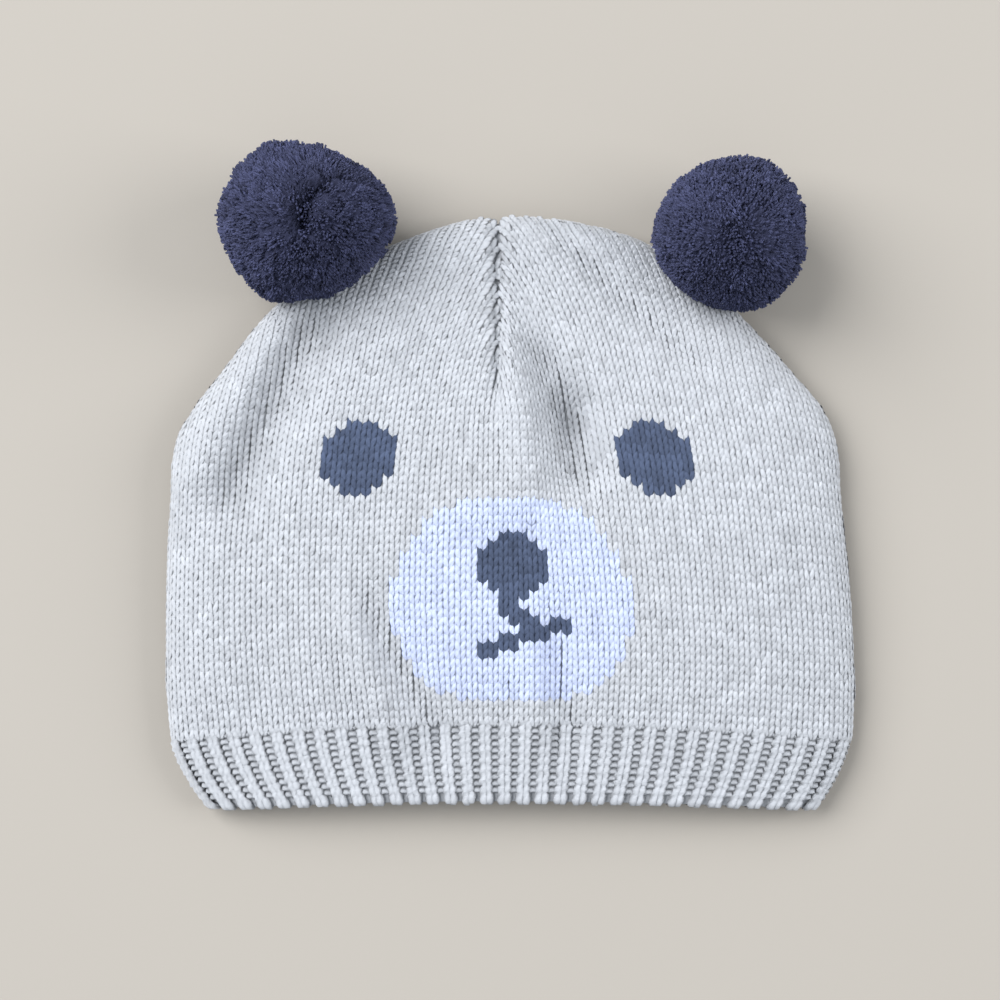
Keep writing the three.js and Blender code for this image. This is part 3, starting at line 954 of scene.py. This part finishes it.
def yarnUnder(points, corners, starts):
    # Number of the face's yarn at each quad's middle: the yarn of the nearest stitch of the front
    quads = corners[: 4 * (len(starts) - 2)].reshape(-1, 4)
    middles = points[quads].mean(axis=1)
    yarn = np.zeros(len(starts), int)
    stitches = both["foot"] + both["up"] * baseShell["stitchMiddle"]
    bottom, top = baseShell["facePart"]
    inFace = (middles[:, 2] > 2 * cloth["fold"]) & (middles[:, 1] < top) & (middles[:, 1] > bottom)
    near = np.flatnonzero(inFace)
    gaps = ((middles[near, None, :2] - stitches[None, :, :2]) ** 2).sum(axis=-1)
    yarn[near] = bothYarn[np.argmin(gaps, axis=1)]
    return yarn


shell = clothShell()
piece = makePiece("clothBase", shell, creamYarn)
piece.data.materials.append(muzzleYarn)
piece.data.materials.append(slateYarn)
slotOfYarn = np.array([0, 1, 2, 2, 2])
yarnSlots = slotOfYarn[yarnUnder(*shell[:3])]
piece.data.polygons.foreach_set("material_index", yarnSlots.astype(np.int32))
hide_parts("crown", "rib_band")

# Middle in mm from the origin, rise of the top, radius of the outline at every 30 degrees from the right
# and anticlockwise, then how the pile lies. It is combed away from a whorl or a crease, given by the
# direction of its middle, its heading in degrees, and lengths as shares of the radius.
pompoms = {
    "pompom_left": {
        "middle": (-48.0, 71.3, 19.2),
        "rise": 20.0,
        "outline": (22.5, 20.8, 18.4, 19.1, 21.8, 21.6, 22.1, 21.3, 22.3, 19.4, 19.1, 19.6),
        "crease": (0.1, 0.08, 0.99),
        "heading": 62,
        "halfLength": 0.34,
        "bend": 1.1,
        "push": 0.24,
        "reach": 0.6,
        "near": 0.4,
        "groove": 0.22,
        "grooveWidth": 0.1,
        "rightShare": 0.25,
        "lean": 0.05,
        "frizz": 0.035,
    },
    "pompom_right": {
        "middle": (56.8, 67.4, 18.4),
        "rise": 19.4,
        "outline": (19.8, 21.1, 21.6, 19.6, 18.6, 17.9, 18.1, 16.9, 16.7, 17.9, 20.1, 20.1),
        "crease": (0.08, -0.26, 0.96),
        "heading": 15,
        "halfLength": 0.16,
        "bend": 0,
        "push": 0.25,
        "reach": 0.6,
        "near": 0.4,
        "groove": 0.05,
        "grooveWidth": 0.12,
        "rightShare": 0.8,
        "lean": 0.07,
        "frizz": 0.08,
    },
}
# Strands of both pompoms. Pairs hold a value for the root and one for the tip, or for clumps and strands.
pile = {
    "strands": 17000,
    "clumps": 1500,
    "scatter": 0.02,
    "gather": 0.22,
    "uneven": (0.02, 0.008),
    "inset": 0.3,
    "root": 0.74,
    "thickness": 0.35,
    "taper": (1.2, 0.9),
    "sides": 3,
    "napRise": 0.5,
    "toneSpread": (0.7, 0.4),
    # Painted shade at each strand's root and a painted highlight at its tip
    "rootShadeTipHighlight": (-0.9, 0.3),
    "leastGap": 0.02,
    "combRise": 2.0,
    "combFrom": 0.4,
    "core": 0.94,
    "coreRough": 0.02,
    "coreColumns": 140,
    "coreRings": 84,
    "coreShade": -1.0,
}


def spherePoints(count):
    # Even directions on a golden spiral: z = 1 - 2 (i + 0.5) / n, angle = i * 137.5 degrees
    i = np.arange(count)
    z = 1 - 2 * (i + 0.5) / count
    angle = i * math.pi * (3 - math.sqrt(5))
    ring = np.sqrt(1 - z * z)
    return np.stack([ring * np.cos(angle), ring * np.sin(angle), z], axis=-1)


def combed(directions, place):
    # Tips lean away from the crease's curve by push * smooth(gap / near) * exp(-(gap / reach)^2), less on its
    # right and not on the underside. The pile is shorter in the crease.
    heading = math.radians(place["heading"])
    along = np.array([math.cos(heading), math.sin(heading), 0])
    across = np.array([math.sin(heading), -math.cos(heading), 0])
    local = directions - unit(np.array(place["crease"]))
    v = local @ along
    held = np.clip(v, -place["halfLength"], place["halfLength"])
    u = local @ across - place["bend"] * held**2
    beyond = v - held
    gap = np.hypot(u, beyond)
    apart = np.maximum(gap, pile["leastGap"])
    away = across[None, :] * (u / apart)[:, None] + along[None, :] * (beyond / apart)[:, None]
    upper = smooth(directions[:, 2] * pile["combRise"] + pile["combFrom"])
    push = place["push"] * np.exp(-((gap / place["reach"]) ** 2)) * upper
    push = push * smooth(gap / place["near"]) * np.where(u > 0, place["rightShare"], 1.0)
    groove = place["groove"] * np.exp(-((gap / place["grooveWidth"]) ** 2))
    return directions + away * push[:, None], 1 - groove


def pompomReach(directions, place):
    # Radius = rise + (outline(azimuth) - rise) * share of the direction that is level, squared
    azimuth = np.degrees(np.arctan2(directions[..., 1], directions[..., 0]))
    edge = np.interp(azimuth, 30 * np.arange(12), place["outline"], period=360)
    return place["rise"] + (edge - place["rise"]) * (directions[..., 0] ** 2 + directions[..., 1] ** 2)


def pompomCore(node, place):
    # Painted-shade heart of the pompom that closes the gaps between the strands: radius = reach * (core +
    # rough noise)
    count, rings = pile["coreColumns"], pile["coreRings"]
    polar = math.pi * (np.arange(rings)[:, None] + 0.5) / rings
    around = 2 * math.pi * np.arange(count)[None, :] / count
    ball = np.stack(
        [np.sin(polar) * np.cos(around), np.sin(polar) * np.sin(around), np.cos(polar) + 0 * around], axis=-1
    )
    nap = ball.reshape(-1, 3)
    rough = pile["core"] + random.normal(0, pile["coreRough"], len(nap))
    shortening = (combed(nap, place)[1] * rough).reshape(ball.shape[:2])
    ball = ball * (pompomReach(ball, place) * shortening)[..., None] + np.array(place["middle"])
    # Painted shade: the core is darkened as the shade between the strands
    tone = np.full(len(nap), pile["coreShade"])
    parts = (ball.reshape(-1, 3), *ringFaces(rings, count), 0 * nap, tone, nap)
    makePiece(node + "Core", parts, navyYarn)


def makePompom(node, place):
    # Cut yarn ends that fan out from the middle: path(t) = middle + reach * t * unit(mix(root, tip, t)).
    # The ends of a clump lean alike and are cut to one length.
    count, clumps = pile["strands"], pile["clumps"]
    directions = unit(spherePoints(count) + random.normal(0, pile["scatter"], (count, 3)))
    gatherings = unit(spherePoints(clumps) + random.normal(0, pile["scatter"], (clumps, 3)))
    clump = np.argmax(directions @ gatherings.T, axis=1)
    gathered = directions + pile["gather"] * (gatherings[clump] - directions)
    leaning, shortening = combed(gathered, place)
    leaning = leaning + random.normal(0, place["lean"], (clumps, 3))[clump]
    tips = unit(leaning + random.normal(0, place["frizz"], (count, 3)))
    ofClumps, ofStrands = pile["uneven"]
    uneven = random.normal(0, ofClumps, clumps)[clump] + random.normal(0, ofStrands, count)
    t = np.array([pile["root"], 1.0])
    mix = ((t - pile["root"]) / (1 - pile["root"]))[None, :, None]
    course = unit(directions[:, None, :] * (1 - mix) + tips[:, None, :] * mix)
    reach = (pompomReach(course, place) - pile["inset"]) * ((1 + uneven) * shortening)[:, None]
    paths = course * (reach * t[None, :])[..., None] + np.array(place["middle"])
    radii = np.array(pile["taper"]) * pile["thickness"]
    side = unit(np.cross(directions, random.normal(0, 1, (count, 3))))
    points, corners, starts, ply = tubeMesh(paths, radii[None, :], side, pile["sides"])
    nap = unit(unit(points - np.array(place["middle"])) + (0, 0, pile["napRise"]))
    ofClumps, ofStrands = pile["toneSpread"]
    patchy = random.normal(0, ofClumps, clumps)[clump] + random.normal(0, ofStrands, count)
    # Painted shade at the root and a painted highlight at the tip of each strand, over random tones of clumps
    # and strands
    tone = np.repeat(patchy[:, None] + pile["rootShadeTipHighlight"], pile["sides"], axis=1).reshape(-1)
    piece = makePiece(node + "Pile", (points, corners, starts, ply, tone, nap), navyYarn)
    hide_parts(node)
    pompomCore(node, place)


for node, place in pompoms.items():
    makePompom(node, place)
print("pompoms made")

# Ground, light and camera, in metres
studio = {
    "floorColour": (0.44, 0.41, 0.37),
    "floorRoughness": 0.9,
    "floorSize": 6.0,
    "lens": 70.0,
    "aim": (0.0004, 0.0023, 0.004),
    "distance": 0.498,
    "elevation": 86.0,
    "lights": {
        "keyLight": {"place": (-1.95, 1.05, 2.15), "power": 124.0, "size": 2.5},
        "fillLight": {"place": (2.2, 0.2, 1.3), "power": 36.0, "size": 1.6},
    },
    "skyColour": (0.9, 0.95, 1.0),
    "sky": 0.5,
}
floorMaterial = bpy.data.materials.new("paleFloor")
floorMaterial.use_nodes = True
floorShader = floorMaterial.node_tree.nodes["Principled BSDF"]
floorShader.inputs["Base Color"].default_value = (*studio["floorColour"], 1)
floorShader.inputs["Roughness"].default_value = studio["floorRoughness"]
bpy.ops.mesh.primitive_plane_add(size=studio["floorSize"], location=(0, 0, 0))
floor = bpy.context.object
floor.name = "floor"
floor.data.materials.append(floorMaterial)


def areaLight(name, settings):
    # A square soft light, turned towards the origin
    light = bpy.data.lights.new(name, "AREA")
    light.energy = settings["power"]
    light.size = settings["size"]
    lamp = bpy.data.objects.new(name, light)
    lamp.location = settings["place"]
    lamp.rotation_euler = (-Vector(settings["place"])).to_track_quat("-Z", "Y").to_euler()
    bpy.context.scene.collection.objects.link(lamp)


for name, settings in studio["lights"].items():
    areaLight(name, settings)
world = bpy.data.worlds.new("studioWorld")
world.use_nodes = True
sky = world.node_tree.nodes["Background"]
sky.inputs["Color"].default_value = (*studio["skyColour"], 1)
sky.inputs["Strength"].default_value = studio["sky"]
bpy.context.scene.world = world

bpy.context.scene.view_settings.view_transform = "Standard"
elevation = math.radians(studio["elevation"])
aim = Vector(studio["aim"])
camera = bpy.data.cameras.new("camera")
camera.lens = studio["lens"]
camera.clip_start = 0.01
eye = bpy.data.objects.new("camera", camera)
eye.location = aim + studio["distance"] * Vector((0, -math.cos(elevation), math.sin(elevation)))
eye.rotation_euler = (aim - eye.location).to_track_quat("-Z", "Y").to_euler()
bpy.context.scene.collection.objects.link(eye)
bpy.context.scene.camera = eye
